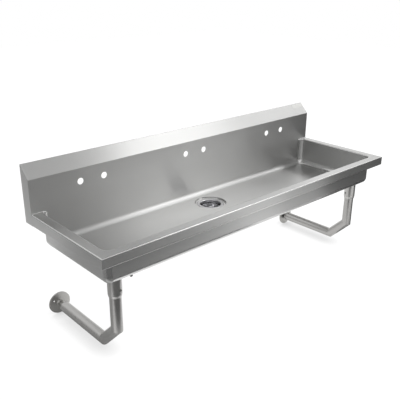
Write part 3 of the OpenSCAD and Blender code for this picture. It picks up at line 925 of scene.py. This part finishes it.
# Each lamp's name, azimuths, elevations and level, where level 1 is as bright as the white world.
SOFTBOXES = (
    ("softbox_right", (58, 120), (46, 64), 1.45),
    ("softbox_side", (60, 114), (29, 45), 0.75),
    ("softbox_front", (121, 147), (27, 45), 2.7),
)
# Each card's name, azimuths, elevations and colour.
CARDS = (
    ("card_front", (150, 240), (-7, 62), "D2D2D2"),
    ("card_high", (122, 160), (46, 64), "CACACA"),
    ("card_right", (103, 128), (-7, 27), "6C6C6C"),
    ("card_left", (242, 358), (-7, 20), "B6B6B6"),
    ("card_back", (0, 60), (45, 80), "686868"),
    ("card_peak", (98, 124), (40, 54), "303030"),
    ("card_behind", (28, 59), (20, 45), "B4B4B4"),
)
# Each cloth's name, its middle and its size on the floor in metres, its turn in degrees, its colour.
CLOTHS = (
    ("cloth_front", (-2.6, -3.05), (5.8, 4.9), 0, "686868"),
    ("cloth_right", (4.1, -1.5), (6.0, 4.0), -52, "484848"),
    ("cloth_edge", (1.48, -1.64), (3.0, 0.3), -52, "C4C4C4"),
    ("cloth_far", (1.9, -3.7), (3.2, 3.6), 0, "101010"),
    # Painted shade: a grey cloth by the left end, where the floor that the metal reflects lies in
    # the sink's shadow.
    ("shade_cloth_under", (-0.92, 0.0), (0.6, 0.8), 0, "C0C0C0"),
    ("cloth_left", (-3.3, 1.2), (4.2, 3.6), 0, "848484"),
)


def facing_size(azimuths, elevations, away):
    """Width and height of a flat panel that covers these angles, as seen from the middle."""
    level = math.radians(sum(elevations) / 2)
    width = 2 * away * math.cos(level) * math.tan(math.radians(azimuths[1] - azimuths[0]) / 2)
    height = 2 * away * math.tan(math.radians(elevations[1] - elevations[0]) / 2)
    return width, height


def facing_place(azimuths, elevations, away):
    """Place and turn of a panel at the middle of these angles, turned to the studio's middle."""
    azimuth = math.radians(sum(azimuths) / 2)
    level = math.radians(sum(elevations) / 2)
    way = (
        math.cos(level) * math.sin(azimuth),
        math.cos(level) * math.cos(azimuth),
        math.sin(level),
    )
    place = [middle + away * part for middle, part in zip(STUDIO_MIDDLE, way)]
    return place, (math.pi / 2 - level, 0, math.pi - azimuth)


class SINK_OT_stage(bpy.types.Operator):
    """A white floor, soft studio light, grey cards for the metal to reflect, and the camera"""

    bl_idname = "sink.stage"
    bl_label = "Stage"

    def execute(self, context):
        scene = context.scene
        self.floor()
        self.world(scene)
        for name, azimuths, elevations, level in SOFTBOXES:
            self.softbox(name, azimuths, elevations, level)
        for name, azimuths, elevations, colour in CARDS:
            place, turn = facing_place(azimuths, elevations, CARD_AWAY)
            size = facing_size(azimuths, elevations, CARD_AWAY)
            self.reflected(name, place, size, turn, colour)
        above = CAD_BOX[0].z - 0.3 * MM
        for name, middle, size, turn, colour in CLOTHS:
            self.reflected(name, (*middle, above), size, (0, 0, math.radians(turn)), colour)
        self.camera(scene)
        scene.view_settings.view_transform = "Standard"
        return {"FINISHED"}

    @staticmethod
    def floor():
        """Paper that is white where it is seen, keeps a part of the sink's shadow, and has a painted
        shadow close under the pieces.
        """
        across = 16
        under = CAD_BOX[0].z - 0.5 * MM
        floor = add_plane("floor", (0, 0, under), (across, across))
        bpy.ops.object.mode_set(mode="OBJECT")
        material, tree, principled = shader(
            "floor_paper_white", Base_Color=linear("FAFAFA"), Roughness=0.9
        )
        path = node(tree, "ShaderNodeLightPath").outputs
        seen = path["Is Camera Ray"]
        for ray in ("Is Glossy Ray", "Is Transmission Ray"):
            seen = node(
                tree, "ShaderNodeMath", {0: seen, 1: path[ray]}, operation="MAXIMUM"
            ).outputs[0]
        # This share of the paper's white is its own, and the rest is lit, with the sink's shadow.
        own = 0.85
        share = node(tree, "ShaderNodeMath", {0: seen, 1: own}, operation="MULTIPLY").outputs[0]
        # Its own white dims within this reach of a piece, from the full glow down to the least: a
        # painted shadow, darker where the pieces hide more of the sky.
        reach, least, full = 55 * MM, 0.48, 1.08
        painted_shadow_ao = node(tree, "ShaderNodeAmbientOcclusion", {"Distance": reach}, samples=16)
        glow = node(
            tree,
            "ShaderNodeMath",
            {0: painted_shadow_ao.outputs["AO"], 1: full - least, 2: least},
            operation="MULTIPLY_ADD",
        ).outputs[0]
        white = node(tree, "ShaderNodeEmission", {"Strength": glow}).outputs[0]
        mixed = node(
            tree, "ShaderNodeMixShader", {0: share, 1: principled.outputs[0], 2: white}
        ).outputs[0]
        tree.links.new(mixed, tree.nodes["Material Output"].inputs["Surface"])
        floor.data.materials.append(material)

    @staticmethod
    def world(scene):
        """Plain white light from all round, which is the background too."""
        world = bpy.data.worlds.new("studio_white")
        scene.world = world
        world.use_nodes = True
        background = world.node_tree.nodes["Background"]
        background.inputs["Color"].default_value = (1, 1, 1, 1)
        background.inputs["Strength"].default_value = 1.0

    @staticmethod
    def softbox(name, azimuths, elevations, level):
        """An area lamp over these angles, which the camera doesn't see."""
        data = bpy.data.lights.new(name, "AREA")
        data.shape = "RECTANGLE"
        width, height = facing_size(azimuths, elevations, LAMP_AWAY)
        data.size = width
        data.size_y = height
        data.energy = level * math.pi * width * height
        lamp = bpy.data.objects.new(name, data)
        bpy.context.scene.collection.objects.link(lamp)
        lamp.location, lamp.rotation_euler = facing_place(azimuths, elevations, LAMP_AWAY)
        lamp.visible_camera = False

    @staticmethod
    def reflected(name, middle, size, turn, colour):
        """A card, or a cloth just over the floor, which only reflections show."""
        board = add_plane(name, middle, size, turn)
        bpy.ops.object.mode_set(mode="OBJECT")
        material, _, _ = shader(f"{name}_board", Base_Color=linear(colour), Roughness=1.0)
        board.data.materials.append(material)
        board.visible_camera = False
        board.visible_diffuse = False
        board.visible_shadow = False

    @staticmethod
    def camera(scene):
        """The camera, at the photograph's place and angle."""
        camera = bpy.data.objects.new("camera", bpy.data.cameras.new("camera"))
        scene.collection.objects.link(camera)
        camera.location = CAMERA_AT
        camera.rotation_euler = [math.radians(angle) for angle in CAMERA_TURN]
        camera.data.lens = CAMERA_LENS
        scene.camera = camera


class SINK_PT_panel(bpy.types.Panel):
    """Lists the sizes, the colours and the pieces"""

    bl_idname = "SINK_PT_panel"
    bl_label = "Trough Sink"
    bl_space_type = "VIEW_3D"
    bl_region_type = "UI"
    bl_category = "Sink"

    def draw(self, context):
        for group in (context.scene.sink_sizes, context.scene.sink_colours):
            for key in group.__annotations__:
                self.layout.prop(group, key)
        for operator in OPERATORS:
            self.layout.operator(operator.bl_idname)


OPERATORS = (
    SINK_OT_bowl,
    SINK_OT_rims,
    SINK_OT_backsplash,
    SINK_OT_brackets,
    SINK_OT_feet,
    SINK_OT_drain,
    SINK_OT_fixings,
    SINK_OT_stage,
)
CLASSES = (SinkSizes, SinkColours, *OPERATORS, SINK_PT_panel)


def register():
    for cls in CLASSES:
        bpy.utils.register_class(cls)
    bpy.types.Scene.sink_sizes = bpy.props.PointerProperty(type=SinkSizes)
    bpy.types.Scene.sink_colours = bpy.props.PointerProperty(type=SinkColours)


def unregister():
    del bpy.types.Scene.sink_colours
    del bpy.types.Scene.sink_sizes
    for cls in reversed(CLASSES):
        bpy.utils.unregister_class(cls)


def main():
    """Makes every piece and the stage."""
    register()
    make_materials(bpy.context.scene.sink_colours)
    bpy.ops.sink.bowl()
    bpy.ops.sink.rims()
    bpy.ops.sink.backsplash()
    bpy.ops.sink.brackets()
    bpy.ops.sink.feet()
    bpy.ops.sink.drain()
    bpy.ops.sink.fixings()
    bpy.ops.sink.stage()


if __name__ == "__main__":
    main()
